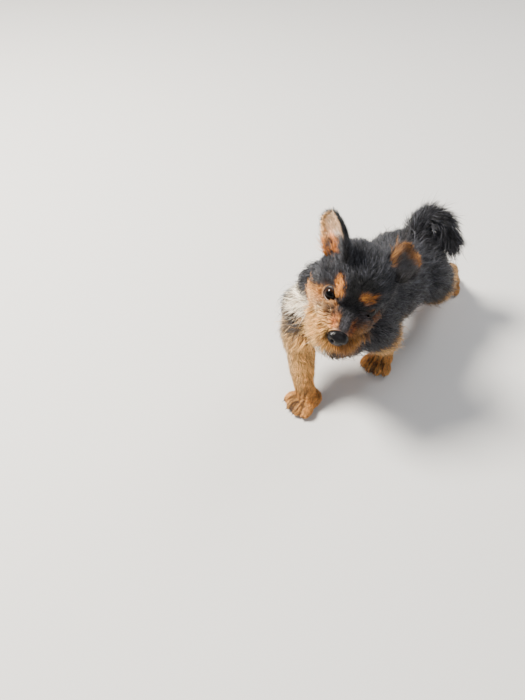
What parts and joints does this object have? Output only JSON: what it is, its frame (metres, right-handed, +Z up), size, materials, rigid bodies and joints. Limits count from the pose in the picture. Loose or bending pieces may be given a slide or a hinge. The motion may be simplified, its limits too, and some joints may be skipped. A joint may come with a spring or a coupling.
{
  "type": "yorkshire terrier puppy",
  "caption": "Life-size still model of a young Yorkshire terrier puppy, black and tan, scampering forward with head turned and tail curled up.",
  "frame": {"origin": "on the floor under the middle of the puppy's bounding box", "axes": "+Z up, +Y from nose to tail along the body so the puppy faces -Y, +X to the puppy's left"},
  "size_m": [0.0904, 0.245, 0.1643],
  "materials": {
    "coat": "soft black and tan puppy fur",
    "skin": "matt skin under the fur",
    "claw": "dark horn, satin",
    "nose_leather": "moist black, pebbled",
    "eye": "wet, very dark brown"
  },
  "bodies": {
    "root": {"head": "coat", "neck": "coat", "torso": "coat", "tail": "coat", "ear_right": "coat", "ear_left": "coat", "front_right_upper": "coat", "front_right_lower": "coat", "paw_front_right": "coat", "front_left_upper": "coat", "front_left_lower": "coat", "paw_front_left": "coat", "hind_right_upper": "coat", "hind_right_lower": "coat", "paw_hind_right": "coat", "hind_left_upper": "coat", "hind_left_lower": "coat", "paw_hind_left": "coat", "nose": "nose_leather", "eye_right": "eye", "eye_left": "eye"}
  },
  "joints": []
}
